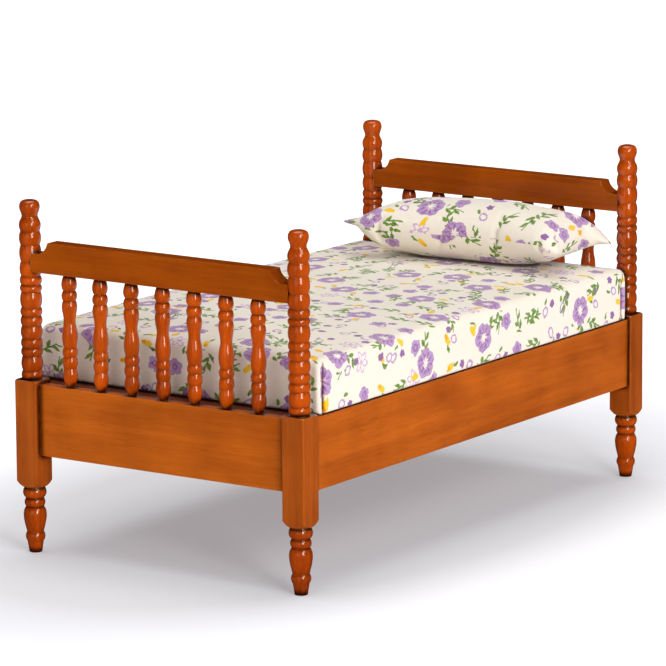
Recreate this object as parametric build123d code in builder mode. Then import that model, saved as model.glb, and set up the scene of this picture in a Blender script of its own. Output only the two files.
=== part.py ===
"""Dolls' house single bed in twelfth scale: turned wooden frame, mattress and pillow.

Frame of reference: X across the bed, Y along it with the head at +Y, Z up.
The origin is on the floor under the middle of the bed. Millimetres throughout.
"""
import os

from build123d import *

# ---- driving dimensions ----------------------------------------------------
POST_SPACING_X = 89.4       # between post axes, across the bed
POST_SPACING_Y = 168.3      # between post axes, along the bed
POST_HEIGHT = 98.9
SPINDLES_PER_END = 7
SPINDLE_PITCH = 10.5

# post: turned leg, square block, bead-turned shaft, ball finial
BLOCK_SIDE = 7.2
BLOCK_BOTTOM = 18.4
BLOCK_TOP = 48.9
BLOCK_EDGE_RADIUS = 0.45
SHOULDER_RISE = 2.6         # the lathe tapers the block's lower corners over this height
SHOULDER_NECK_RADIUS = 2.75
CROWN_DROP = 0.9            # and rounds its upper corners over this one
BEAD_RADIUS = 3.04
GROOVE_RADIUS = 2.62
NECK_RADIUS = 2.2           # under the finial
FINIAL_RADIUS = 2.82
# heights of the beads from the block up: a short one, then long ones between pairs of short ones
BEAD_HEIGHTS = [2.5, 4.0, 2.4, 2.6, 3.5, 2.7, 2.4, 4.3, 2.0, 2.5, 4.0, 4.6, 3.8]

# rails
LOWER_RAIL_DEPTH = 20.0
LOWER_RAIL_TOP = 47.9
RAIL_THICKNESS = 3.6
SIDE_RAIL_OFFSET = 0.88     # the side rails stand this far outside the post axes
TOP_RAIL_THICKNESS = 4.8
TOP_RAIL_BOTTOM = 79.2
TOP_RAIL_TOP = 87.8
TOP_RAIL_SHOULDER = 84.4    # height of the flat beside each post
HOUSING_FLAT = 1.85         # the posts are cut flat this far from their axes for the top rail
COVE_START = 4.1            # the cove rises from here, measured from the post axis
COVE_END = 7.7
COVE_HOLLOW = (1.35, 1.05)  # the middle of its curve: outwards of its upper end, above its foot
ARRIS = 0.25                # softening of the rails' long edges

# joinery
STUB_LENGTH = 2.0
STUB_THICKNESS = 1.6
LOWER_STUB_DEPTH = 15.0
TOP_STUB_LENGTH = 1.4
TOP_STUB_DEPTH = 3.0
DOWEL_RADIUS = 0.8
DOWEL_LENGTH = 1.9
FIT = 0.03                  # play around every stub and dowel
GLUE_ROOM = 0.3             # left at the bottom of every mortise

# bedding and what carries it
BOARD_THICKNESS = 2.0
BOARD_GAP = 0.15
CLEAT_SIDE = 3.0
CLEAT_LENGTH = 150.0
COVER_THICKNESS = 0.3
FILLING_GAP = 0.05
MATTRESS_WIDTH = 94.4
MATTRESS_FOOT = -77.9
MATTRESS_HEAD = 80.3
MATTRESS_BOTTOM = 48.0
MATTRESS_TOP = 64.6
MATTRESS_RADII = (2.6, 2.2, 1.0)    # upright corners, upper edges, lower edges
PILLOW_SIZE = (77.0, 26.0, 16.4)
PILLOW_CENTRE = (2.4, 64.2)
PILLOW_TURN = 5.5           # degrees: its right end lies nearer to the head
PILLOW_BOTTOM = 64.8
PILLOW_RADIUS = 7.0

HALF_X = POST_SPACING_X / 2
HALF_Y = POST_SPACING_Y / 2
HALF_BLOCK = BLOCK_SIDE / 2
LOWER_RAIL_BOTTOM = LOWER_RAIL_TOP - LOWER_RAIL_DEPTH
LOWER_RAIL_MIDDLE = LOWER_RAIL_TOP - LOWER_RAIL_DEPTH / 2
TOP_STUB_MIDDLE = (TOP_RAIL_BOTTOM + TOP_RAIL_SHOULDER) / 2
ENDS = (("foot", -1), ("head", 1))
SIDES = (("left", -1), ("right", 1))

os.makedirs("parts", exist_ok=True)


def finish(piece, name):
    """Labels a finished piece and writes its STEP file."""
    piece.label = name
    export_step(piece, f"parts/{name}.step")


def turning(bottom, runs):
    """A solid turned on Z. bottom is (radius, height); each run ends at its last point.

    A run of one point is straight, one of two is an arc through the first of them,
    and a longer one is a smooth curve through them all.
    """
    with BuildPart() as turned:
        with BuildSketch(Plane.XZ):
            with BuildLine():
                start = bottom
                Line((0, bottom[1]), bottom)
                for run in runs:
                    if len(run) == 1:
                        Line(start, run[0])
                    elif len(run) == 2:
                        ThreePointArc(start, run[0], run[1])
                    else:
                        Spline(start, *run)
                    start = run[-1]
                Line(start, (0, start[1]))
                Line((0, start[1]), (0, bottom[1]))
            make_face()
        revolve(axis=Axis.Z)
    return turned.part


def bead(bottom, height, crest, groove):
    """One turned bead: an arc over its crest to the groove above it."""
    return [(crest, bottom + height / 2), (groove, bottom + height)]


def soft_block(size, centre, turn, radii):
    """A box turned by some degrees, with rounded upright corners and upper and lower edges."""
    upright, upper, lower = radii
    with BuildPart() as block:
        with Locations(Location(centre, (0, 0, turn))):
            Box(*size)
        fillet(block.edges().filter_by(Axis.Z), upright)
        fillet(block.faces().sort_by(Axis.Z)[-1].edges(), upper)
        fillet(block.faces().sort_by(Axis.Z)[0].edges(), lower)
    return block.part


# ---- posts -----------------------------------------------------------------
leg = turning(
    (1.55, 0),
    [
        [(1.73, 0.08), (1.8, 0.3)],                                   # eased edge of the foot
        [(2.28, 3.2)],                                                # foot, widening upwards
        [(2.72, 4.5), (2.30, 5.75)],                                  # lower ring
        [(2.76, 7.6), (3.17, 10.0), (3.02, 11.9), (2.42, 12.95)],     # vase
        [(2.88, 14.15), (2.42, 15.35)],                               # middle ring
        [(3.26, 17.0), (SHOULDER_NECK_RADIUS, BLOCK_BOTTOM)],         # upper ring
        [(SHOULDER_NECK_RADIUS, BLOCK_BOTTOM + 1)],
    ],
)

shaft_runs = [[(GROOVE_RADIUS, BLOCK_TOP)]]
height = BLOCK_TOP
for rise in BEAD_HEIGHTS:
    shaft_runs.append(bead(height, rise, BEAD_RADIUS, GROOVE_RADIUS))
    height += rise
# the uppermost bead flows through a hollow neck into the ball finial
shaft_runs.append([
    (2.86, height + 0.7), (3.0, height + 1.6), (2.72, height + 2.9),
    (NECK_RADIUS, height + 4.2), (2.52, height + 5.4), (FINIAL_RADIUS, height + 6.7),
    (2.3, POST_HEIGHT - 0.5), (1.2, POST_HEIGHT - 0.06), (0.02, POST_HEIGHT),
])
shaft = turning((GROOVE_RADIUS, BLOCK_TOP - 1), shaft_runs)

# the shape that the lathe leaves the block in: its sides clear the block's corners
corner_radius = HALF_BLOCK * 1.45
block_envelope = turning(
    (SHOULDER_NECK_RADIUS, BLOCK_BOTTOM),
    [
        [(4.2, BLOCK_BOTTOM + 1.05), (corner_radius, BLOCK_BOTTOM + SHOULDER_RISE)],
        [(corner_radius, BLOCK_TOP - CROWN_DROP)],
        [(corner_radius - 0.35, BLOCK_TOP - 0.3), (corner_radius - 1.1, BLOCK_TOP)],
    ],
)

for end_name, end in ENDS:
    for side_name, side in SIDES:
        with BuildPart() as post:
            with BuildSketch(Plane.XY.offset(BLOCK_BOTTOM)):
                RectangleRounded(BLOCK_SIDE, BLOCK_SIDE, BLOCK_EDGE_RADIUS)
            extrude(amount=BLOCK_TOP - BLOCK_BOTTOM)
            add(block_envelope, mode=Mode.INTERSECT)
            add(leg)
            add(shaft)
            # housing and mortise of the top rail
            with Locations((-side * (HOUSING_FLAT + BLOCK_SIDE / 2), 0, TOP_STUB_MIDDLE)):
                Box(BLOCK_SIDE, BLOCK_SIDE, TOP_RAIL_SHOULDER - TOP_RAIL_BOTTOM, mode=Mode.SUBTRACT)
            top_mortise = TOP_STUB_LENGTH + GLUE_ROOM
            with Locations((-side * (HOUSING_FLAT - top_mortise / 2), 0, TOP_STUB_MIDDLE)):
                Box(
                    top_mortise,
                    STUB_THICKNESS + 2 * FIT,
                    TOP_STUB_DEPTH + 2 * FIT,
                    mode=Mode.SUBTRACT,
                )
            # mortises of the lower end rail and of the side rail
            mortise = STUB_LENGTH + GLUE_ROOM
            with Locations((-side * (HALF_BLOCK - mortise / 2), 0, LOWER_RAIL_MIDDLE)):
                Box(
                    mortise,
                    STUB_THICKNESS + 2 * FIT,
                    LOWER_STUB_DEPTH + 2 * FIT,
                    mode=Mode.SUBTRACT,
                )
            with Locations(
                (side * SIDE_RAIL_OFFSET, -end * (HALF_BLOCK - mortise / 2), LOWER_RAIL_MIDDLE)
            ):
                Box(
                    STUB_THICKNESS + 2 * FIT,
                    mortise,
                    LOWER_STUB_DEPTH + 2 * FIT,
                    mode=Mode.SUBTRACT,
                )
        post.part.position = (side * HALF_X, end * HALF_Y, 0)
        finish(post.part, f"{end_name}_post_{side_name}")

# ---- end frames: top rail, lower rail and spindles --------------------------
spindle = turning(
    (DOWEL_RADIUS, LOWER_RAIL_TOP - DOWEL_LENGTH),
    [
        [(DOWEL_RADIUS, LOWER_RAIL_TOP)],
        [(1.1, LOWER_RAIL_TOP)],
        [(1.5, 49.1), (2.0, 50.5), (2.1, 51.5), (1.95, 52.5), (1.76, 53.3)],    # acorn tip
        bead(53.3, 3.2, 2.12, 1.76),
        bead(56.5, 2.55, 2.12, 1.74),
        [(2.02, 60.3), (2.16, 62.2), (1.95, 64.2), (1.66, 66.2), (1.85, 68.3),
         (2.14, 70.3), (2.04, 71.3), (1.76, 72.1)],                             # vase
        bead(72.1, 2.8, 2.14, 1.64),
        [(2.0, 75.6), (2.13, 76.85), (1.92, 78.0), (1.5, TOP_RAIL_BOTTOM)],
        [(DOWEL_RADIUS, TOP_RAIL_BOTTOM)],
        [(DOWEL_RADIUS, TOP_RAIL_BOTTOM + DOWEL_LENGTH)],
    ],
)

rail_end_x = HALF_X - HOUSING_FLAT
lower_rail_end_x = HALF_X - HALF_BLOCK
for end_name, end in ENDS:
    with BuildPart() as top_rail:
        with BuildSketch(Plane.XZ):
            with BuildLine():
                for mirrored in (1, -1):
                    corner = (mirrored * (HALF_X - COVE_END), TOP_RAIL_TOP)
                    cove_middle = (
                        mirrored * (HALF_X - COVE_END + COVE_HOLLOW[0]),
                        TOP_RAIL_SHOULDER + COVE_HOLLOW[1],
                    )
                    cove_foot = (mirrored * (HALF_X - COVE_START), TOP_RAIL_SHOULDER)
                    shoulder = (mirrored * rail_end_x, TOP_RAIL_SHOULDER)
                    underside = (mirrored * rail_end_x, TOP_RAIL_BOTTOM)
                    Line((0, TOP_RAIL_TOP), corner)
                    ThreePointArc(corner, cove_middle, cove_foot)
                    Polyline(cove_foot, shoulder, underside, (0, TOP_RAIL_BOTTOM))
            make_face()
        extrude(amount=TOP_RAIL_THICKNESS / 2, both=True)
        fillet(top_rail.edges().filter_by(Axis.X).group_by(Axis.Z)[-1], ARRIS)
        fillet(top_rail.edges().filter_by(Axis.X).group_by(Axis.Z)[0], ARRIS)
        for mirrored in (1, -1):
            with Locations((mirrored * (rail_end_x + TOP_STUB_LENGTH / 2), 0, TOP_STUB_MIDDLE)):
                Box(TOP_STUB_LENGTH, STUB_THICKNESS, TOP_STUB_DEPTH)
        with Locations((0, 0, TOP_RAIL_BOTTOM)):
            with GridLocations(SPINDLE_PITCH, 1, SPINDLES_PER_END, 1):
                Cylinder(
                    DOWEL_RADIUS + FIT,
                    DOWEL_LENGTH + GLUE_ROOM,
                    align=(Align.CENTER, Align.CENTER, Align.MIN),
                    mode=Mode.SUBTRACT,
                )
    top_rail.part.position = (0, end * HALF_Y, 0)
    finish(top_rail.part, f"{end_name}_top_rail")

    with BuildPart() as lower_rail:
        with Locations((0, 0, LOWER_RAIL_MIDDLE)):
            Box(2 * lower_rail_end_x, RAIL_THICKNESS, LOWER_RAIL_DEPTH)
        fillet(lower_rail.edges().filter_by(Axis.X), ARRIS)
        for mirrored in (1, -1):
            with Locations((mirrored * (lower_rail_end_x + STUB_LENGTH / 2), 0, LOWER_RAIL_MIDDLE)):
                Box(STUB_LENGTH, STUB_THICKNESS, LOWER_STUB_DEPTH)
        with Locations((0, 0, LOWER_RAIL_TOP)):
            with GridLocations(SPINDLE_PITCH, 1, SPINDLES_PER_END, 1):
                Cylinder(
                    DOWEL_RADIUS + FIT,
                    DOWEL_LENGTH + GLUE_ROOM,
                    align=(Align.CENTER, Align.CENTER, Align.MAX),
                    mode=Mode.SUBTRACT,
                )
    lower_rail.part.position = (0, end * HALF_Y, 0)
    finish(lower_rail.part, f"{end_name}_lower_rail")

    for number in range(1, SPINDLES_PER_END + 1):
        spindle_x = (number - (SPINDLES_PER_END + 1) / 2) * SPINDLE_PITCH
        with BuildPart() as placed_spindle:
            with Locations((spindle_x, end * HALF_Y, 0)):
                add(spindle)
        finish(placed_spindle.part, f"{end_name}_spindle_{number}")

# ---- side rails and the cleats glued inside them ----------------------------
side_rail_length = POST_SPACING_Y - BLOCK_SIDE
board_bottom = LOWER_RAIL_TOP - BOARD_THICKNESS
rail_inner_x = HALF_X + SIDE_RAIL_OFFSET - RAIL_THICKNESS / 2
for side_name, side in SIDES:
    rail_x = side * (HALF_X + SIDE_RAIL_OFFSET)
    with BuildPart() as side_rail:
        with Locations((rail_x, 0, LOWER_RAIL_MIDDLE)):
            Box(RAIL_THICKNESS, side_rail_length, LOWER_RAIL_DEPTH)
        fillet(side_rail.edges().filter_by(Axis.Y), ARRIS)
        for end in (-1, 1):
            stub_y = end * (side_rail_length + STUB_LENGTH) / 2
            with Locations((rail_x, stub_y, LOWER_RAIL_MIDDLE)):
                Box(STUB_THICKNESS, STUB_LENGTH, LOWER_STUB_DEPTH)
    finish(side_rail.part, f"side_rail_{side_name}")

    with BuildPart() as cleat:
        cleat_x = side * (rail_inner_x - CLEAT_SIDE / 2)
        with Locations((cleat_x, 0, board_bottom - CLEAT_SIDE / 2)):
            Box(CLEAT_SIDE, CLEAT_LENGTH, CLEAT_SIDE)
        inner_edges = cleat.edges().filter_by(Axis.Y).sort_by(Axis.X)
        lower_inner_edge = (inner_edges[:2] if side > 0 else inner_edges[-2:]).sort_by(Axis.Z)[0]
        chamfer(lower_inner_edge, CLEAT_SIDE / 4)
    finish(cleat.part, f"side_cleat_{side_name}")

# ---- base board, notched round the post blocks ------------------------------
with BuildPart() as base_board:
    board_width = 2 * (rail_inner_x - BOARD_GAP)
    board_length = 2 * (HALF_Y - RAIL_THICKNESS / 2 - BOARD_GAP)
    with BuildSketch(Plane.XY.offset(board_bottom)):
        Rectangle(board_width, board_length)
        with GridLocations(POST_SPACING_X, POST_SPACING_Y, 2, 2):
            Rectangle(BLOCK_SIDE + 2 * BOARD_GAP, BLOCK_SIDE + 2 * BOARD_GAP, mode=Mode.SUBTRACT)
    extrude(amount=BOARD_THICKNESS)
finish(base_board.part, "base_board")

# ---- mattress and pillow: a sewn cover round a filling ----------------------
mattress_size = (
    MATTRESS_WIDTH,
    MATTRESS_HEAD - MATTRESS_FOOT,
    MATTRESS_TOP - MATTRESS_BOTTOM,
)
mattress_centre = (
    0,
    (MATTRESS_HEAD + MATTRESS_FOOT) / 2,
    (MATTRESS_TOP + MATTRESS_BOTTOM) / 2,
)
pillow_centre = (PILLOW_CENTRE[0], PILLOW_CENTRE[1], PILLOW_BOTTOM + PILLOW_SIZE[2] / 2)
pillow_radii = (PILLOW_RADIUS, PILLOW_RADIUS, PILLOW_RADIUS)

for name, size, centre, turn, radii in (
    ("mattress", mattress_size, mattress_centre, 0, MATTRESS_RADII),
    ("pillow", PILLOW_SIZE, pillow_centre, PILLOW_TURN, pillow_radii),
):
    lining_size = tuple(length - 2 * COVER_THICKNESS for length in size)
    lining_radii = tuple(radius - COVER_THICKNESS for radius in radii)
    with BuildPart() as cover:
        add(soft_block(size, centre, turn, radii))
        add(soft_block(lining_size, centre, turn, lining_radii), mode=Mode.SUBTRACT)
    finish(cover.part, f"{name}_cover")

    inset = COVER_THICKNESS + FILLING_GAP
    filling_size = tuple(length - 2 * inset for length in size)
    filling_radii = tuple(radius - inset for radius in radii)
    with BuildPart() as filling:
        add(soft_block(filling_size, centre, turn, filling_radii))
    finish(filling.part, f"{name}_filling")
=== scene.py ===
"""Looks for the dolls' house bed: stained turned wood, printed cotton bedding, studio floor.

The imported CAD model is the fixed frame. Metres, X across the bed, +Y towards its head, Z up.
"""
import math
import random

import bpy
from mathutils import Matrix, Vector


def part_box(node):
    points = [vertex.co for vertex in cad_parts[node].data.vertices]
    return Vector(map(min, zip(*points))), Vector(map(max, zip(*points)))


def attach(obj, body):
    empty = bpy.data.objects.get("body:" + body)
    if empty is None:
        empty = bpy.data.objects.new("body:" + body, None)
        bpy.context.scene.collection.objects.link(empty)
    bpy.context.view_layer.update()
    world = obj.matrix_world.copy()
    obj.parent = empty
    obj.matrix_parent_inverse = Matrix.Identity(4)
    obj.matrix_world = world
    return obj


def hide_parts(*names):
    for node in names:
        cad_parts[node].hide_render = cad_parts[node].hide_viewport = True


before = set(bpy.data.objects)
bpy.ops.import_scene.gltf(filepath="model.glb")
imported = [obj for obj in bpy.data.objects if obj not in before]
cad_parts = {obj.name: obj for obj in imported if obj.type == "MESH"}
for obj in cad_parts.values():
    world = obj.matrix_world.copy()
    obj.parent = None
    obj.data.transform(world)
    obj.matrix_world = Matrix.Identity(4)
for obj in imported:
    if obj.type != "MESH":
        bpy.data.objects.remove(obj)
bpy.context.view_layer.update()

MM = 0.001


def srgb(red, green, blue):
    """A colour picked on a 0-255 scale, as the linear values that nodes take."""
    def linear(channel):
        channel /= 255
        return channel / 12.92 if channel <= 0.04045 else ((channel + 0.055) / 1.055) ** 2.4
    return (linear(red), linear(green), linear(blue), 1.0)


def darkened(colour, share):
    return tuple(channel * share for channel in colour[:3]) + (1.0,)


# ---- writing node trees as formulas -----------------------------------------
class Value:
    """One number in a node tree. Arithmetic on it adds Math nodes."""

    def __init__(self, tree, socket):
        self.tree = tree
        self.socket = socket

    def math(self, operation, *others, clamp=False):
        node = self.tree.nodes.new("ShaderNodeMath")
        node.operation = operation
        node.use_clamp = clamp
        for slot, operand in zip(node.inputs, (self, *others)):
            if isinstance(operand, Value):
                self.tree.links.new(operand.socket, slot)
            else:
                slot.default_value = operand
        return Value(self.tree, node.outputs[0])

    def __add__(self, other):
        return self.math("ADD", other)

    __radd__ = __add__

    def __sub__(self, other):
        return self.math("SUBTRACT", other)

    def __rsub__(self, other):
        return (self * -1.0) + other

    def __mul__(self, other):
        return self.math("MULTIPLY", other)

    __rmul__ = __mul__

    def __truediv__(self, other):
        return self.math("DIVIDE", other)

    def floor(self):
        return self.math("FLOOR")

    def sin(self):
        return self.math("SINE")

    def cos(self):
        return self.math("COSINE")

    def abs(self):
        return self.math("ABSOLUTE")

    def sqrt(self):
        return self.math("SQRT")

    def wrap(self, period):
        """What is left after whole periods are taken off, never negative."""
        return self.math("WRAP", period, 0.0)

    def at_most(self, other):
        return self.math("MINIMUM", other)

    def above(self, limit):
        return self.math("GREATER_THAN", limit)

    def inside(self, softness):
        """1 where this depth inside an edge is positive, 0 outside, with a soft edge."""
        return (self * (1.0 / softness)).math("ADD", 0.5, clamp=True)


def hypotenuse(across, along):
    return (across * across + along * along).sqrt()


class Tree:
    """Adds nodes to one node tree."""

    def __init__(self, tree):
        self.tree = tree

    def node(self, kind, settings=None, **inputs):
        """A node of this kind. inputs are socket values or wires; _ stands for a space in a name."""
        node = self.tree.nodes.new("ShaderNode" + kind)
        for name, value in (settings or {}).items():
            setattr(node, name, value)
        for name, value in inputs.items():
            slot = node.inputs[name.replace("_", " ")]
            self.plug(value, slot)
        return node

    def plug(self, value, slot):
        if isinstance(value, Value):
            value = value.socket
        if isinstance(value, bpy.types.NodeSocket):
            self.tree.links.new(value, slot)
        else:
            slot.default_value = value

    def value(self, socket):
        return Value(self.tree, socket)

    def vector(self, x=0.0, y=0.0, z=0.0):
        return self.node("CombineXYZ", X=x, Y=y, Z=z).outputs[0]

    def split(self, vector):
        parts = self.node("SeparateXYZ", Vector=vector).outputs
        return tuple(self.value(part) for part in parts)

    def noise(self, vector, scale, detail=2.0, roughness=0.5, distortion=0.0):
        node = self.node(
            "TexNoise", Vector=vector, Scale=scale, Detail=detail,
            Roughness=roughness, Distortion=distortion,
        )
        return self.value(node.outputs[0])

    def mix(self, first, amount, second, blend="MIX"):
        node = self.tree.nodes.new("ShaderNodeMix")
        node.data_type = "RGBA"
        node.blend_type = blend
        self.plug(amount, node.inputs[0])
        self.plug(first, node.inputs[6])
        self.plug(second, node.inputs[7])
        return node.outputs[2]

    def ramp(self, amount, *stops):
        """A colour ramp; stops are (position, colour)."""
        node = self.node("ValToRGB", Fac=amount)
        elements = node.color_ramp.elements
        while len(elements) < len(stops):
            elements.new(0.5)
        for element, (position, colour) in zip(elements, stops):
            element.position = position
            element.color = colour
        return node.outputs[0]

    def bump(self, height, distance, strength=1.0, normal=None):
        inputs = {"Height": height, "Distance": distance, "Strength": strength}
        if normal is not None:
            inputs["Normal"] = normal
        return self.node("Bump", **inputs).outputs[0]


def new_material(name):
    material = bpy.data.materials.new(name)
    material.use_nodes = True
    material.node_tree.nodes.clear()
    return material, Tree(material.node_tree)


def surface(tree, **inputs):
    """The Principled shader and the material's output. inputs as for Tree.node."""
    shader = tree.node("BsdfPrincipled", **inputs)
    output = tree.node("OutputMaterial")
    tree.tree.links.new(shader.outputs[0], output.inputs[0])


# ---- wood --------------------------------------------------------------------
GRAIN_SCALE = 0.05              # of the noises that follow the grain, against their scale across it
BAND_SCALE = 260.0              # how fine each noise is, in features to the metre
FIBRE_SCALE = 2600.0
PORE_SCALE = 5200.0
RIPPLE_SCALE = 900.0
CLOUD_SCALE = 55.0
WEAR_SCALE = 420.0
POLISH_SCALE = 320.0
PORE_SHADE = 0.35               # the stain in pores, and the stain with painted shade in grooves, as shares of the dark colour
GROOVE_STAIN_AND_SHADE = 0.16
STAIN_AND_SHADE_REACH = 2.0 * MM         # grooves narrower than this gather stain and painted shade
ARRIS_REACH = 0.35 * MM
GRAIN_RELIEF = 0.06 * MM
DEEPEST_TONE = 0.30             # tones of the noise at which the stain is darkest and lightest
PALEST_TONE = 0.74
RUBBED_WOOD = srgb(226, 150, 96)
GLOSS_TINT = (1.0, 0.42, 0.12, 1.0)


def stained_wood(name, grain_axis, seed, dark, light, worn, lacquer, block=None):
    """Orange-brown stain under lacquer, with its grain along grain_axis (0, 1 or 2).

    worn is how far the arrises are rubbed and lacquer how glossy the coat is, both from 0 to 1.
    block is a range of heights with colours of its own: (low, high, dark, light).
    """
    material, tree = new_material(name)
    place = tree.node("TexCoord").outputs["Object"]
    scale = [1.0, 1.0, 1.0]
    scale[grain_axis] = GRAIN_SCALE
    fibres_at = tree.node(
        "Mapping", Vector=place, Location=(seed, seed * 0.7, seed * 1.3), Scale=tuple(scale),
    ).outputs[0]
    broad = tree.noise(fibres_at, BAND_SCALE, 3.0, 0.55, 0.8)
    fibres = tree.noise(fibres_at, FIBRE_SCALE, 3.0, 0.65)
    cloud = tree.noise(place, CLOUD_SCALE, 2.0)
    # the pores are short dark dashes that took up more stain
    pores = (tree.noise(fibres_at, PORE_SCALE, 1.0) - 0.60).math("MULTIPLY", 9.0, clamp=True)
    tone = (broad * 0.45 + fibres * 0.30 + cloud * 0.45 - 0.08).math("ADD", 0.0, clamp=True)
    colour = tree.ramp(tone, (DEEPEST_TONE, dark), (PALEST_TONE, light))
    if block is not None:
        # the square block of a post took the stain as the rails did
        _, _, height = tree.split(place)
        low, high, block_dark, block_light = block
        within = height.above(low) * (1.0 - height.above(high))
        block_colour = tree.ramp(tone, (DEEPEST_TONE, block_dark), (PALEST_TONE, block_light))
        colour = tree.mix(colour, within, block_colour)
    colour = tree.mix(colour, pores * 0.30, darkened(dark, PORE_SHADE))
    # stain gathers in the grooves and joints; this occlusion darkening also paints the shade that
    # falls there and where other parts come close
    recess = tree.node("AmbientOcclusion", {"samples": 6}, Distance=STAIN_AND_SHADE_REACH)
    shade = (0.97 - tree.value(recess.outputs["AO"])).math("MULTIPLY", 3.4, clamp=True)
    colour = tree.mix(colour, shade, darkened(dark, GROOVE_STAIN_AND_SHADE))
    # arrises are rubbed paler
    rounded = tree.node("Bevel", {"samples": 4}, Radius=ARRIS_REACH).outputs[0]
    true_normal = tree.node("NewGeometry").outputs["Normal"]
    turn = tree.node("VectorMath", {"operation": "DOT_PRODUCT"}).outputs["Value"]
    tree.tree.links.new(rounded, turn.node.inputs[0])
    tree.tree.links.new(true_normal, turn.node.inputs[1])
    edge = ((1.0 - tree.value(turn)) * 5.0).math("MULTIPLY", 1.0, clamp=True)
    patchy = (tree.noise(place, WEAR_SCALE, 3.0) - 0.42).math("MULTIPLY", 4.0, clamp=True)
    colour = tree.mix(colour, edge * patchy * worn, RUBBED_WOOD)
    ripple = tree.noise(fibres_at, RIPPLE_SCALE, 3.0, 0.6)
    grain_relief = tree.bump(ripple * 0.6 + pores * -0.5, GRAIN_RELIEF, 0.55)
    surface(
        tree,
        Base_Color=colour,
        Roughness=0.24 + tree.noise(place, POLISH_SCALE, 2.0) * 0.16,
        Normal=grain_relief,
        Specular_IOR_Level=0.1 + lacquer * 0.35,
        Specular_Tint=GLOSS_TINT,
        Coat_Weight=lacquer,
        Coat_Roughness=0.10,
    )
    return material


# ---- printed cotton ------------------------------------------------------------
CREAM = srgb(241, 232, 217)
LILAC = srgb(188, 152, 196)
LILAC_DEEP = srgb(146, 104, 160)
LILAC_LINE = srgb(208, 172, 212)
VIOLET = srgb(146, 98, 158)
YELLOW = srgb(246, 198, 34)
YELLOW_DEEP = srgb(232, 158, 10)
GREEN = srgb(118, 154, 54)
GREEN_DEEP = srgb(74, 110, 40)
INK_EDGE = 0.16         # softness of the print's edges, in mm
WOBBLE = 1.5            # of its outlines, in mm
SMALL_SCATTERS = ((3.0, 8.6), (8.0, 15.5))      # the seed of each, and its cell in mm
FLOWER_SEEDS = (1.0, 2.0)
FLOWER_CELL = 27.0
THREAD_PITCH = 0.42     # of the weave, in mm
THREAD_SHADE = srgb(206, 196, 178)
CLOUD_SHADE = srgb(238, 226, 206)
CREASE_SHADE = srgb(170, 124, 100)
CREASE_REACH = 1.2 * MM
WEAVE_RELIEF = 0.03 * MM
PUCKER_RELIEF = 0.5 * MM
FOLD_SHADOW = srgb(150, 104, 78)
FOLD_LINE_WIDTH = 0.42 * MM     # from the middle of the shadow to where it fades out
FOLD_LINE_WAVER = 0.9 * MM
FOLD_LINE_END = 2.2 * MM        # below the top of the piece


class Motif:
    """One scattered spot of the print: its own turned coordinates in mm, and more random draws."""

    def __init__(self, tree, x, y, cell, seed, drift, share):
        # each seed has its own grid of cells, one spot to a cell
        column = (x / cell + seed * 0.37).floor()
        row = (y / cell + seed * 0.61).floor()
        draw = tree.node("TexWhiteNoise", {"noise_dimensions": "3D"},
                         Vector=tree.vector(column, row, seed)).outputs["Color"]
        first, second, third = tree.split(draw)
        again = tree.node("TexWhiteNoise", {"noise_dimensions": "3D"},
                          Vector=tree.vector(row, column, seed + 11.0)).outputs["Color"]
        self.more_draws = tree.split(again)
        across = (x / cell + seed * 0.37 - column - 0.5) * cell + (first - 0.5) * drift
        along = (y / cell + seed * 0.61 - row - 0.5) * cell + (second - 0.5) * drift
        angle = third * math.tau
        cosine = angle.cos()
        sine = angle.sin()
        self.x = across * cosine + along * sine
        self.y = along * cosine - across * sine
        self.present = 1.0 - self.more_draws[0].above(share)

    def polar(self, x0=0.0, y0=0.0):
        dx = self.x - x0
        dy = self.y - y0
        return hypotenuse(dx, dy), dy.math("ARCTAN2", dx)

    def petals(self, radius, slim, count):
        """Depth inside a ring of petals. slim is half a petal's width, as a share of the radius."""
        distance, angle = self.polar()
        sector = math.tau / count
        folded = angle.wrap(sector) - sector / 2
        outward = (distance * folded.cos() - radius * 0.54) / (radius * 0.46)
        across = distance * folded.sin() / (radius * slim)
        return (1.0 - hypotenuse(outward, across)) * (radius * slim)

    def lobed(self, radius, lobes, depth, x0=0.0, y0=0.0):
        """Depth inside a broad flower with shallow lobes, and the distance from its middle."""
        distance, angle = self.polar(x0, y0)
        edge = (angle * (lobes / 2)).cos().abs() * depth + (1.0 - depth)
        return edge * radius - distance, distance

    def ring(self, long_half, short_half, line, x0=0.0, y0=0.0):
        """Depth inside the drawn outline of an oval."""
        return line - (self.oval(long_half, short_half, x0, y0) - 1.0).abs() * short_half

    def oval(self, long_half, short_half, x0=0.0, y0=0.0):
        """Distance from the middle in units of an oval's edge."""
        return hypotenuse((self.x - x0) / long_half, (self.y - y0) / short_half)

    def sprig(self, start, length, step=2.7, leaf_long=2.9, leaf_half=0.58, bend=0.05, width=0.24):
        """Depths inside the stem and inside the leaves of a sprig along +x from start."""
        along = self.x - start
        side = self.y + along * along * bend - 0.35
        on_stem = along.at_most(length - along)
        stem = (width - side.abs()).at_most(on_stem)
        shifted = along + side.above(0.0) * (step / 2)
        base = shifted.wrap(step)
        lean = math.radians(40)
        reach = base * math.cos(lean) + side.abs() * math.sin(lean)
        off = side.abs() * math.cos(lean) - base * math.sin(lean)
        half = (reach * (math.pi / leaf_long)).sin() * leaf_half
        whole_leaf = (shifted - base).at_most(length - step - (shifted - base)) + 0.1
        leaf = (half - off.abs()).at_most(leaf_long - reach).at_most(whole_leaf)
        return stem, leaf


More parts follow.
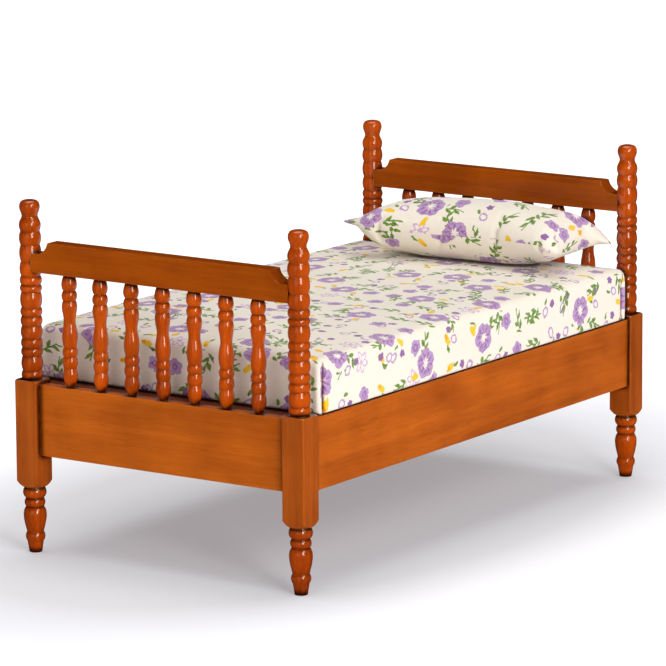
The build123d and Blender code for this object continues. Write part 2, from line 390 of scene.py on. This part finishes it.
class Press:
    """The print on the cotton so far, and its two mottled inks. A stamp covers those before it."""

    def __init__(self, tree, mottle):
        self.tree = tree
        self.mottle = mottle
        self.colour = CREAM
        self.green = tree.mix(GREEN, (mottle - 0.45).math("MULTIPLY", 5.0, clamp=True), GREEN_DEEP)
        self.lilac = tree.mix(LILAC, (mottle - 0.52).math("MULTIPLY", 7.0, clamp=True), LILAC_DEEP)

    def stamp(self, depth, ink, present, softness=INK_EDGE):
        """Inks the places with a positive depth."""
        self.colour = self.tree.mix(self.colour, depth.inside(softness) * present, ink)


def print_small_motif(press, spot):
    """A sprig, a flower, an outlined flower, a bud or a pair, as each spot's draw decides."""
    pick = spot.more_draws[1]

    def chosen(low, high):
        """1 on the spots that draw between low and high."""
        return spot.present * pick.above(low) * (1.0 - pick.above(high))

    sprigged = chosen(0.0, 0.34)
    stem, leaf = spot.sprig(-3.2, 6.2)
    press.stamp(stem, press.green, sprigged)
    press.stamp(leaf, press.green, sprigged)
    flowered = chosen(0.34, 0.50)
    flower, distance = spot.lobed(2.5, 5, 0.24)
    press.stamp(flower, press.lilac, flowered)
    press.stamp(0.24 - (distance - 0.8).abs(), LILAC_DEEP, flowered)
    outlined = chosen(0.50, 0.62)
    press.stamp(0.18 - spot.petals(2.9, slim=0.24, count=6).abs(), LILAC_LINE, outlined)
    press.stamp(0.20 - (distance - 0.5).abs(), LILAC_LINE, outlined)
    budded = chosen(0.62, 0.78)
    press.stamp((1.0 - spot.oval(1.9, 0.95)) * 1.1, YELLOW, budded)
    press.stamp((1.0 - spot.oval(0.8, 0.4, 0.9)) * 0.6, YELLOW_DEEP, budded)
    press.stamp((1.0 - spot.oval(1.3, 0.45, -2.6, 0.9)) * 0.6, press.green, budded)
    paired = chosen(0.78, 1.0)
    press.stamp(spot.ring(1.35, 1.05, 0.26, -1.7, 0.9), LILAC, paired)
    press.stamp(spot.lobed(1.25, 5, 0.25, 1.8, -1.2)[0], VIOLET, paired)
    press.stamp((1.0 - spot.oval(1.0, 0.5, 0.9, 2.2)) * 0.6, press.green, paired)


def print_large_flower(press, spot):
    """A large flower in a clear space, with a sprig and a bud."""
    flower, distance = spot.lobed(4.3, 5, 0.17)
    angle = spot.polar()[1]
    press.stamp(5.3 - distance, CREAM, spot.present)
    stem, leaf = spot.sprig(3.4, 5.4)
    press.stamp(stem, press.green, spot.present)
    press.stamp(leaf, press.green, spot.present)
    press.stamp((1.0 - spot.oval(0.85, 1.7, -2.6, 5.6)) * 1.1, YELLOW, spot.present)
    press.stamp(flower, press.lilac, spot.present)
    streak = ((angle * 9.0 + press.mottle * 9.0).cos() - 0.35) * 1.2
    inner = streak.at_most(distance - 1.2).at_most(3.2 - distance)
    press.stamp(inner, LILAC_DEEP, spot.present, 0.7)
    star = (angle * 3.5 + press.mottle * 6.0).cos().abs() * 1.1 + 0.45 - distance
    press.stamp(star, CREAM, spot.present, 0.5)


def floral_print():
    """A node group: cloth coordinates in mm in, the printed cotton's colour out."""
    group = bpy.data.node_groups.new("floral_print", "ShaderNodeTree")
    group.interface.new_socket("Cloth", in_out="INPUT", socket_type="NodeSocketVector")
    group.interface.new_socket("Color", in_out="OUTPUT", socket_type="NodeSocketColor")
    tree = Tree(group)
    x, y, _ = tree.split(group.nodes.new("NodeGroupInput").outputs[0])
    plain = tree.vector(x, y, 0.0)
    # a hand-drawn wobble for every outline
    wobble = tree.node("TexNoise", Vector=plain, Scale=0.55, Detail=2.0).outputs["Color"]
    wobble_x, wobble_y, _ = tree.split(wobble)
    x = x + (wobble_x - 0.5) * WOBBLE
    y = y + (wobble_y - 0.5) * WOBBLE
    press = Press(tree, tree.noise(plain, 1.1, 3.0, 0.6))
    for seed, cell in SMALL_SCATTERS:
        print_small_motif(press, Motif(tree, x, y, cell, seed, drift=2.2, share=0.94))
    for seed in FLOWER_SEEDS:
        print_large_flower(press, Motif(tree, x, y, FLOWER_CELL, seed, drift=6.0, share=0.74))
    group.links.new(press.colour, group.nodes.new("NodeGroupOutput").inputs[0])
    return group


def fold_shadow(tree, colour, place, low, high):
    """Paints the shadow of a fold as a brown line down each upright corner of the piece between low
    and high.
    """
    x, y, z = tree.split(place)
    across = (x - (low.x + high.x) / 2).abs() - ((high.x - low.x) / 2 - TUCK_REACH)
    along = (y - (low.y + high.y) / 2).abs() - ((high.y - low.y) / 2 - TUCK_REACH)
    bearing = math.radians(TUCK_BEARING)
    waver = (tree.noise(place, 300.0, 2.0) - 0.5) * FOLD_LINE_WAVER
    off_fold = (along * math.cos(bearing) - across * math.sin(bearing) + waver).abs()
    line = (1.0 - off_fold * (1 / FOLD_LINE_WIDTH)).math("MULTIPLY", 1.6, clamp=True)
    upright = ((high.z - FOLD_LINE_END - z) * (1 / MM)).math("MULTIPLY", 1.0, clamp=True)
    at_corner = across.above(0.0) * along.above(0.0)
    return tree.mix(colour, line * upright * at_corner * 0.85, FOLD_SHADOW, "MULTIPLY")


def printed_cotton(name, offset, turn, print_group, folded_box=None):
    """Plain-weave cotton with the floral print, laid out by the piece's own cloth map.

    folded_box is (low corner, high corner) of a piece whose upright corners are folded; a shadow is
    painted down each fold.
    """
    material, tree = new_material(name)
    cloth = tree.node("UVMap", {"uv_map": "cloth"}).outputs[0]
    cloth_mm = tree.node(
        "Mapping", Vector=cloth, Location=offset, Rotation=(0, 0, turn), Scale=(1 / MM, 1 / MM, 1.0),
    ).outputs[0]
    print_node = tree.tree.nodes.new("ShaderNodeGroup")
    print_node.node_tree = print_group
    tree.plug(cloth_mm, print_node.inputs[0])
    colour = print_node.outputs[0]
    u, v, _ = tree.split(cloth_mm)
    thread = math.tau / THREAD_PITCH
    warp = (u * thread).sin() * (v * (thread / 2)).cos()
    weft = (v * thread).sin() * (u * (thread / 2)).sin()
    # thick and thin threads, first one way of the cloth and then the other
    slub = tree.noise(tree.vector(u * 0.25, v * 3.0), 1.0, 3.0)
    slub = slub + tree.noise(tree.vector(u * 3.0, v * 0.25), 1.0, 3.0)
    cloud = tree.noise(cloth_mm, 0.05, 2.0)
    thick = (slub - 0.75).math("MULTIPLY", 0.22, clamp=True)
    colour = tree.mix(colour, thick, THREAD_SHADE, "MULTIPLY")
    colour = tree.mix(colour, cloud * 0.16, CLOUD_SHADE, "MULTIPLY")
    recess = tree.node("AmbientOcclusion", {"samples": 6}, Distance=CREASE_REACH)
    shade = (0.9 - tree.value(recess.outputs["AO"])).math("MULTIPLY", 2.2, clamp=True)
    colour = tree.mix(colour, shade, CREASE_SHADE, "MULTIPLY")
    place = tree.node("TexCoord").outputs["Object"]
    if folded_box is not None:
        colour = fold_shadow(tree, colour, place, *folded_box)
    weave = tree.bump(warp + weft + slub * 1.2, WEAVE_RELIEF, 0.5)
    puckers = tree.bump(tree.noise(place, 130.0, 3.0, 0.55), PUCKER_RELIEF, 0.35, weave)
    surface(
        tree,
        Base_Color=colour,
        Roughness=0.86,
        Normal=puckers,
        Sheen_Weight=0.25,
        Sheen_Roughness=0.45,
        Specular_IOR_Level=0.25,
        Subsurface_Weight=0.08,
        Subsurface_Radius=(0.9, 0.7, 0.5),
        Subsurface_Scale=0.0012,
    )
    return material


# ---- meshes ---------------------------------------------------------------------
def add_mesh(name, points, faces, cloth_of_face, material):
    """A smooth mesh object. cloth_of_face gives each face's corners their place on the flat cloth."""
    mesh = bpy.data.meshes.new(name)
    mesh.from_pydata([tuple(p) for p in points], [], faces)
    layer = mesh.uv_layers.new(name="cloth")
    for polygon, corners in zip(mesh.polygons, cloth_of_face):
        polygon.use_smooth = True
        for loop_index, place in zip(polygon.loop_indices, corners):
            layer.data[loop_index].uv = place
    mesh.materials.append(material)
    piece = bpy.data.objects.new(name, mesh)
    bpy.context.scene.collection.objects.link(piece)
    return piece


TOP_STEP = 1.8 * MM         # between the lines of a lattice, across its top and down its sides
SIDE_STEP = 1.2 * MM
EDGE_BAND = 3.2 * MM        # where the lines stand closer together
EDGE_STEP = 0.4 * MM
SAME_LINE = 1e-9


def lines_between(low, high, step):
    """Grid lines from low to high, step apart, but closer in the edge bands at both ends."""
    lines = []
    at = low
    while at < high - SAME_LINE:
        lines.append(at)
        near_end = min(at - low, high - at) < EDGE_BAND
        at += EDGE_STEP if near_end else step
    if high - lines[-1] < EDGE_STEP * 0.5:
        lines.pop()
    lines.append(high)
    return lines


def crown_rise(x, y):
    """How far the stuffing lifts the mattress top at (x, y)."""
    across = (x - mattress_middle.x) / mattress_half.x
    along = (y - mattress_middle.y) / mattress_half.y
    return MATTRESS_CROWN * (1 - across ** 4) * (1 - along ** 6)


def mattress_top(x, y):
    return mattress_high.z - MATTRESS_CROWN_ROOM + crown_rise(x, y)


def tuck_corner(q, fullness):
    """The cover is folded at its upright corners: a soft roll on the end, then a sharp crease."""
    side = math.copysign(1, q.x - mattress_middle.x)
    end = math.copysign(1, q.y - mattress_middle.y)
    across = abs(q.x - mattress_middle.x) - mattress_half.x + TUCK_REACH
    along = abs(q.y - mattress_middle.y) - mattress_half.y + TUCK_REACH
    if across < 0 or along < 0:
        return
    bearing = math.degrees(math.atan2(along, across))
    # the fold fades out at the top edge and is weaker near the bottom
    upright = min(1.0, (1 - fullness) * 3) * min(1.0, fullness * 6 + 0.4)
    crease = math.exp(-((bearing - TUCK_BEARING) / CREASE_SPREAD) ** 2)
    roll = math.exp(-((bearing - ROLL_BEARING) / ROLL_SPREAD) ** 2)
    push = upright * (ROLL_HEIGHT * roll - CREASE_DEPTH * crease)
    outwards = Vector((side * across, end * along)).normalized() * push
    q.x += outwards.x
    q.y += outwards.y


def unfolded(p, axis, low, high):
    """Where p, on a face square to axis, lies on the cloth when the sides swing up to the top."""
    drop = high.z - p.z
    if axis == 0:
        return p.x + math.copysign(drop, p.x), p.y
    if axis == 1:
        return p.x, p.y + math.copysign(drop, p.y - (low.y + high.y) / 2)
    return p.x, p.y


def block_lattice(low, high):
    """The surface of a block: its points, its faces and their corners' places on the cloth."""
    lines = (
        lines_between(low.x, high.x, TOP_STEP),
        lines_between(low.y, high.y, TOP_STEP),
        lines_between(low.z, high.z, SIDE_STEP),
    )
    index_of = {}
    points = []

    def corner(key):
        if key not in index_of:
            index_of[key] = len(points)
            points.append(Vector([line[at] for line, at in zip(lines, key)]))
        return index_of[key]

    faces = []
    cloth = []
    for axis in range(3):
        first, second = [a for a in range(3) if a != axis]
        for level in (0, len(lines[axis]) - 1):
            for a in range(len(lines[first]) - 1):
                for b in range(len(lines[second]) - 1):
                    ring = []
                    for da, db in ((0, 0), (1, 0), (1, 1), (0, 1)):
                        key = [0, 0, 0]
                        key[axis] = level
                        key[first] = a + da
                        key[second] = b + db
                        ring.append(corner(tuple(key)))
                    # faces look outwards
                    if (level > 0) == (axis == 1):
                        ring.reverse()
                    faces.append(ring)
                    cloth.append([unfolded(points[vertex], axis, low, high) for vertex in ring])
    return points, faces, cloth


def round_edges(q, low, high, radii):
    """Moves q in from the edges of a block. radii are of its upright, upper and lower edges."""
    upright, upper, lower = radii
    middle = (low + high) / 2
    half = (high - low) / 2
    inner = Vector((
        max(low.x + upright, min(high.x - upright, q.x)),
        max(low.y + upright, min(high.y - upright, q.y)),
        0,
    ))
    offset = Vector((q.x - inner.x, q.y - inner.y, 0))
    if offset.length > upright:
        offset = offset.normalized() * upright
        q.x = inner.x + offset.x
        q.y = inner.y + offset.y
    edge_radius = upper if q.z > middle.z else lower
    gap_x = max(0.0, abs(q.x - middle.x) - (half.x - edge_radius))
    gap_y = max(0.0, abs(q.y - middle.y) - (half.y - edge_radius))
    gap_z = max(0.0, abs(q.z - middle.z) - (half.z - edge_radius))
    across = max(gap_x, gap_y) if min(gap_x, gap_y) == 0 else math.hypot(gap_x, gap_y)
    reach = math.hypot(across, gap_z)
    if gap_z > 0 and across > 0 and reach > edge_radius:
        pull = edge_radius / reach
        q.z -= math.copysign(gap_z * (1 - pull), q.z - middle.z)
        q.x -= math.copysign(gap_x * (1 - pull), q.x - middle.x)
        q.y -= math.copysign(gap_y * (1 - pull), q.y - middle.y)


def quilted_block(low, high, radii, material, name):
    """A stuffed block in cloth: rounded edges, crowned top, folded corners, flat underneath."""
    points, faces, cloth = block_lattice(low, high)
    for q in points:
        round_edges(q, low, high, radii)
        # the stuffing lifts the top a little towards the middle
        fullness = max(0.0, (q.z - low.z) / (high.z - low.z))
        q.z += crown_rise(q.x, q.y) * fullness ** 3
        tuck_corner(q, fullness)
    return add_mesh(name, points, faces, cloth, material)


def flat_pillow_place(u, v):
    """Where a point of the pillow case lies before it is stuffed; u and v run from -1 to 1.

    The end seams are narrower than the case, and two of the corners are drawn out to tails.
    """
    end = max(0.0, (abs(u) - PILLOW_END_START) / (1 - PILLOW_END_START))
    kept = PILLOW_LEFT_SEAM if u < 0 else PILLOW_RIGHT_SEAM
    x = u * PILLOW_WIDTH / 2
    y = v * PILLOW_DEPTH / 2 * math.sqrt(1 - (1 - kept * kept) * end * end)
    for corner_u, corner_v, tail, spread in PILLOW_TAILS:
        gap = math.hypot((u - corner_u) * PILLOW_WIDTH / 2, (v - corner_v) * PILLOW_DEPTH / 2)
        pull = max(0.0, 1 - gap / spread) ** 2
        x += corner_u * tail * pull
    return x, y


def pillow_mesh(name, material):
    """Two flat panels sewn edge to edge."""
    columns = PILLOW_COLUMNS
    rows = PILLOW_ROWS
    index_of = {}
    points = []
    flat_places = []

    def corner(i, j, level):
        edge = i in (0, columns) or j in (0, rows)
        key = (i, j, 0 if edge else level)
        if key not in index_of:
            x, y = flat_pillow_place(2 * i / columns - 1, 2 * j / rows - 1)
            index_of[key] = len(points)
            points.append(Vector((x, y, 0.0 if edge else level * PANEL_GAP / 2)))
            flat_places.append((x, y))
        return index_of[key]

    faces = []
    cloth = []
    for level in (1, -1):
        for i in range(columns):
            for j in range(rows):
                ring = [corner(i, j, level), corner(i + 1, j, level),
                        corner(i + 1, j + 1, level), corner(i, j + 1, level)]
                if level < 0:
                    ring.reverse()
                faces.append(ring)
                shift = 0.0 if level > 0 else BACK_PANEL_SHIFT
                cloth.append([(flat_places[v][0] + shift, flat_places[v][1]) for v in ring])
    return add_mesh(name, points, faces, cloth, material)


SIMULATION_SCALE = 10.0
CLOTH_STIFFNESS = 15.0


def inflate(piece, pressure, frames):
    """Swells a sewn shell with Cloth pressure, worked out at ten times its size."""
    mesh = piece.data
    mesh.transform(Matrix.Scale(SIMULATION_SCALE, 4))
    cloth = piece.modifiers.new("cloth", "CLOTH")
    settings = cloth.settings
    settings.quality = 6
    settings.mass = 0.25
    settings.air_damping = 2.0
    settings.tension_stiffness = CLOTH_STIFFNESS
    settings.compression_stiffness = CLOTH_STIFFNESS
    settings.shear_stiffness = CLOTH_STIFFNESS * 0.4
    settings.bending_stiffness = 0.5
    settings.use_pressure = True
    settings.uniform_pressure_force = pressure
    settings.effector_weights.gravity = 0.0
    cloth.collision_settings.use_collision = False
    scene = bpy.context.scene
    for number in range(1, frames + 1):
        scene.frame_set(number)
    swollen = piece.evaluated_get(bpy.context.evaluated_depsgraph_get())
    places = [v.co.copy() for v in swollen.data.vertices]
    piece.modifiers.remove(cloth)
    scene.frame_set(1)
    for vertex, place in zip(mesh.vertices, places):
        vertex.co = place
    mesh.transform(Matrix.Scale(1 / SIMULATION_SCALE, 4))


def draw_out_tail(piece):
    """Pulls the loose corner at the left end, nearer the foot, out to a thin tail."""
    tip = min((v.co for v in piece.data.vertices), key=lambda p: p.x + p.y * 0.2).copy()
    for vertex in piece.data.vertices:
        pull = max(0.0, 1 - (vertex.co - tip).length / TAIL_REACH) ** 1.5
        vertex.co += TAIL_PULL * pull


def lay_pillow(piece, low, high):
    """Settles the swollen pillow: squat under its own weight, flat where it rests."""
    body = [v.co for v in piece.data.vertices if abs(v.co.x) < PILLOW_BODY_HALF]
    squat = PILLOW_HEIGHT / (max(p.z for p in body) - min(p.z for p in body))
    spread = PILLOW_BODY_DEPTH / (max(p.y for p in body) - min(p.y for p in body))
    draw_out_tail(piece)
    turn = Matrix.Rotation(PILLOW_TURN, 4, "Z")
    middle = (low + high) / 2
    middle.x += PILLOW_SHIFT
    middle.z = MATTRESS_CROWN_HEIGHT + PILLOW_HEIGHT / 2 - PILLOW_SINK
    end_length = PILLOW_WIDTH / 2 - PILLOW_DROOP_START
    for vertex in piece.data.vertices:
        place = vertex.co
        place.z *= squat
        place.y *= spread
        end = max(0.0, abs(place.x) - PILLOW_DROOP_START) / end_length
        place.z += (LEFT_RISE if place.x < 0 else -RIGHT_DROOP) * end * end
        place = turn @ place + middle
        # its back edge leans on the spindles at the head
        place.y = min(place.y, spindle_front - PILLOW_CLEARANCE)
        bed = mattress_top(place.x, place.y) + PILLOW_CLEARANCE
        # the underside spreads out flat over the mattress
        if place.z < bed + PILLOW_FLATTENED:
            place.z = bed + max(0.0, place.z - bed + PILLOW_SINK) * PILLOW_GIVE
        vertex.co = place


def subdivide(piece):
    modifier = piece.modifiers.new("smooth", "SUBSURF")
    modifier.levels = 1
    modifier.render_levels = 1


# ---- mattress ---------------------------------------------------------------------
print_group = floral_print()
MATTRESS_CROWN = 1.4 * MM
MATTRESS_CROWN_ROOM = 1.6 * MM      # left for the crown under the top of the CAD solid
MATTRESS_RADII = (2.0 * MM, 2.4 * MM, 0.9 * MM)     # upright, upper and lower edges
TUCK_REACH = 3.2 * MM        # how far round the corner the fold works
TUCK_BEARING = 28            # of the crease, in degrees round the corner from the long side
CREASE_SPREAD = 9
CREASE_DEPTH = 1.5 * MM
ROLL_BEARING = TUCK_BEARING + 30
ROLL_SPREAD = 14
ROLL_HEIGHT = 0.4 * MM
mattress_low, mattress_high = (Vector(corner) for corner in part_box("mattress_cover"))
mattress_middle = (mattress_low + mattress_high) / 2
mattress_half = (mattress_high - mattress_low) / 2
MATTRESS_CROWN_HEIGHT = mattress_high.z - MATTRESS_CROWN_ROOM + MATTRESS_CROWN
mattress_cotton = printed_cotton(
    "mattress_cotton", (3.0, -5.0, 0.0), 0.0, print_group, (mattress_low, mattress_high),
)
mattress = quilted_block(
    mattress_low,
    mattress_high - Vector((0, 0, MATTRESS_CROWN_ROOM)),
    MATTRESS_RADII,
    mattress_cotton,
    "mattress_quilt",
)
subdivide(mattress)
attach(mattress, "mattress")
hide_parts("mattress_cover", "mattress_filling")

# ---- pillow ------------------------------------------------------------------------
PILLOW_WIDTH = 71 * MM          # of the flat case, without its tails
PILLOW_DEPTH = 33 * MM
PILLOW_COLUMNS = 76             # of the lattice on each of its two panels
PILLOW_ROWS = 32
PANEL_GAP = 1.2 * MM
BACK_PANEL_SHIFT = 130 * MM     # on the cloth it was cut from
PILLOW_PRESSURE = 60.0
PILLOW_FRAMES = 24
PILLOW_BODY_HALF = 15 * MM      # the middle part, where the stuffed pillow is measured
PILLOW_BODY_DEPTH = 26 * MM     # of the stuffed pillow
PILLOW_HEIGHT = 18.2 * MM
PILLOW_TURN = math.radians(5.5)
PILLOW_SHIFT = 3.2 * MM         # right of the CAD solid's middle, which leaves room for the left tail
PILLOW_END_START = 0.80         # from here on the case narrows to its end seams
PILLOW_LEFT_SEAM = 0.32         # length of the end seams, as shares of the depth
PILLOW_RIGHT_SEAM = 0.85
# corner (u, v), how far it is drawn out and how far round the corner it draws the case
PILLOW_TAILS = ((-1, -1, 5.5 * MM, 7.0 * MM), (1, 1, 4.5 * MM, 10.0 * MM))
TAIL_PULL = Vector((-6.6, -4.6, -2.6)) * MM     # the loose tail at the left end
TAIL_REACH = 2.4 * MM
PILLOW_DROOP_START = 24 * MM    # from the middle of the pillow
LEFT_RISE = 1.2 * MM            # the left end stands up, the right one hangs down
RIGHT_DROOP = 2.6 * MM
PILLOW_SINK = 0.5 * MM          # how far its weight flattens the underside
PILLOW_FLATTENED = 1.2 * MM     # what hangs lower than this over the mattress is flattened
PILLOW_GIVE = 0.45              # and keeps this share of its height
PILLOW_CLEARANCE = 0.12 * MM
pillow_low, pillow_high = (Vector(corner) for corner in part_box("pillow_cover"))
spindle_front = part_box("head_spindle_7")[0][1]      # the side that faces the foot of the bed
pillow_cotton = printed_cotton("pillow_cotton", (57.0, 13.0, 0.0), 0.12, print_group)
pillow = pillow_mesh("pillow_case", pillow_cotton)
inflate(pillow, PILLOW_PRESSURE, PILLOW_FRAMES)
lay_pillow(pillow, pillow_low, pillow_high)
subdivide(pillow)
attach(pillow, "pillow")
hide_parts("pillow_cover", "pillow_filling")

# ---- wood on the CAD pieces ----------------------------------------------------------
RAIL_DARK = srgb(146, 64, 8)
RAIL_LIGHT = srgb(208, 103, 20)
TOP_RAIL_DARK = srgb(122, 48, 0)
TOP_RAIL_LIGHT = srgb(176, 80, 0)
BLOCK_DARK = srgb(134, 56, 8)
BLOCK_LIGHT = srgb(194, 92, 18)
TURNED_DARK = srgb(112, 32, 0)
TURNED_LIGHT = srgb(216, 86, 0)
INNER_DARK = srgb(92, 40, 20)
INNER_LIGHT = srgb(138, 66, 34)

block_low = 17.6 * MM       # the square blocks of the posts
block_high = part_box("side_rail_left")[1][2] + 1.2 * MM

ACROSS = 0      # the axes that the grain follows
ALONG = 1
UPWARDS = 2


def wood_for(node_name, seed):
    """The stained wood of one piece of the frame."""
    name = f"{node_name}_wood"
    if "post" in node_name:
        block = (block_low, block_high, BLOCK_DARK, BLOCK_LIGHT)
        return stained_wood(name, UPWARDS, seed, TURNED_DARK, TURNED_LIGHT, 0.5, 1.0, block)
    if "spindle" in node_name:
        return stained_wood(name, UPWARDS, seed, TURNED_DARK, TURNED_LIGHT, 0.5, 1.0)
    if "board" in node_name or "cleat" in node_name:
        return stained_wood(name, ALONG, seed, INNER_DARK, INNER_LIGHT, 0.1, 0.0)
    if "top_rail" in node_name:
        return stained_wood(name, ACROSS, seed, TOP_RAIL_DARK, TOP_RAIL_LIGHT, 0.8, 0.25)
    grain_axis = ALONG if "side_rail" in node_name else ACROSS
    return stained_wood(name, grain_axis, seed, RAIL_DARK, RAIL_LIGHT, 0.8, 0.25)


random.seed(4)
for node_name in sorted(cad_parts):
    if "mattress" in node_name or "pillow" in node_name:
        continue
    wood = wood_for(node_name, random.uniform(0, 40))
    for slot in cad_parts[node_name].material_slots:
        slot.material = wood


# ---- floor and lights --------------------------------------------------------------------
FLOOR_HALF = 6.0
PAINTED_SHADOW_OVAL = (50 * MM, 90 * MM)   # half widths of the painted shadow's oval on the floor round the bed
PAINTED_SHADOW_OVAL_LEFT = 8 * MM          # how far left of the bed's middle it lies
GLOW_START = 1.4                # the painted glow grows from here on, in sizes of the oval
GLOW_RISE = 0.75
# painted light: the floor's glow near the bed, kept low to paint the bed's shadow
NEAR_GLOW = 0.28
FAR_GLOW = 0.55                 # of painted glow, on top of the dimmer painted glow near the bed
SKY_LEVEL = 0.52


def studio_floor():
    """White paper that glows with painted light: a little near the bed, which paints the bed's soft
    shadow, and more away from it.
    """
    material, tree = new_material("floor_paper_painted_light")
    place = tree.node("TexCoord").outputs["Object"]
    grain = tree.noise(place, 900.0, 2.0)
    x, y, _ = tree.split(place)
    away = hypotenuse((x + PAINTED_SHADOW_OVAL_LEFT) * (1 / PAINTED_SHADOW_OVAL[0]), y * (1 / PAINTED_SHADOW_OVAL[1]))
    # painted light and shadow: the floor glows least in the oval round the bed
    glow = (away - GLOW_START).math("MULTIPLY", GLOW_RISE, clamp=True) * FAR_GLOW + NEAR_GLOW
    surface(
        tree,
        Base_Color=tree.mix(srgb(200, 201, 204), grain * 0.04, srgb(184, 186, 190)),
        Roughness=0.75,
        Specular_IOR_Level=0.2,
        Emission_Color=srgb(250, 250, 255),
        Emission_Strength=glow,
    )
    mesh = bpy.data.meshes.new("floor")
    corners = [
        (x_side * FLOOR_HALF, y_side * FLOOR_HALF, 0)
        for x_side, y_side in ((-1, -1), (1, -1), (1, 1), (-1, 1))
    ]
    mesh.from_pydata(corners, [], [(0, 1, 2, 3)])
    mesh.materials.append(material)
    floor = bpy.data.objects.new("floor", mesh)
    bpy.context.scene.collection.objects.link(floor)
    floor.visible_glossy = False


def area_light(name, place, target, size, power, height=None):
    """A round lamp size across, or an upright strip size wide if it has a height."""
    data = bpy.data.lights.new(name, "AREA")
    data.shape = "DISK"
    data.size = size
    if height is not None:
        data.shape = "RECTANGLE"
        data.size_y = height
    data.energy = power
    light = bpy.data.objects.new(name, data)
    bpy.context.scene.collection.objects.link(light)
    light.location = place
    light.rotation_euler = (Vector(target) - Vector(place)).to_track_quat("-Z", "Y").to_euler()


def studio_sky():
    """Pale all round, brightest near the horizon, as white seamless paper makes it."""
    world = bpy.data.worlds.new("studio")
    world.use_nodes = True
    tree = Tree(world.node_tree)
    direction = tree.node("TexCoord").outputs["Generated"]
    _, _, rise = tree.split(direction)
    level = tree.ramp(rise, (0.0, (1.0, 1.0, 1.0, 1.0)), (0.55, (0.42, 0.42, 0.43, 1.0)))
    background = world.node_tree.nodes["Background"]
    tree.plug(level, background.inputs[0])
    background.inputs[1].default_value = SKY_LEVEL
    bpy.context.scene.world = world
    # the gloss mirrors the lamps, not the white room
    world.cycles_visibility.glossy = False


studio_floor()
studio_sky()
bed_middle = Vector((0, 0, 0.05))
area_light("key", (1.10, -0.34, 0.86), bed_middle, size=0.50, power=3.3)
area_light("strip", (0.98, -0.66, 0.40), bed_middle, size=0.28, power=6.2, height=0.60)
area_light("overhead", (-0.1, 0.1, 1.5), bed_middle, size=1.4, power=13.0)
area_light("low_fill", (0.2, -1.5, 0.35), bed_middle, size=0.9, power=1.2)


# ---- camera --------------------------------------------------------------------------------
CAMERA_PLACE = Vector((0.7598, -1.1140, 0.3197))
CAMERA_FORWARD = Vector((-0.55370, 0.80968, -0.19450)).normalized()
CAMERA_RIGHT = Vector((0.82617, 0.56338, -0.00669))     # made square to forward below


def long_lens_camera():
    """Looks from the right of the bed's foot, slightly from above, through a long lens."""
    data = bpy.data.cameras.new("camera")
    data.sensor_width = 36.0
    data.lens = 261.6
    data.clip_start = 0.05
    camera = bpy.data.objects.new("camera", data)
    bpy.context.scene.collection.objects.link(camera)
    forward = CAMERA_FORWARD
    right = (CAMERA_RIGHT - forward * CAMERA_RIGHT.dot(forward)).normalized()
    up = right.cross(forward)
    camera.matrix_world = Matrix((
        (right.x, up.x, -forward.x, CAMERA_PLACE.x),
        (right.y, up.y, -forward.y, CAMERA_PLACE.y),
        (right.z, up.z, -forward.z, CAMERA_PLACE.z),
        (0, 0, 0, 1),
    ))
    bpy.context.scene.camera = camera


long_lens_camera()
bpy.context.scene.view_settings.view_transform = "Standard"
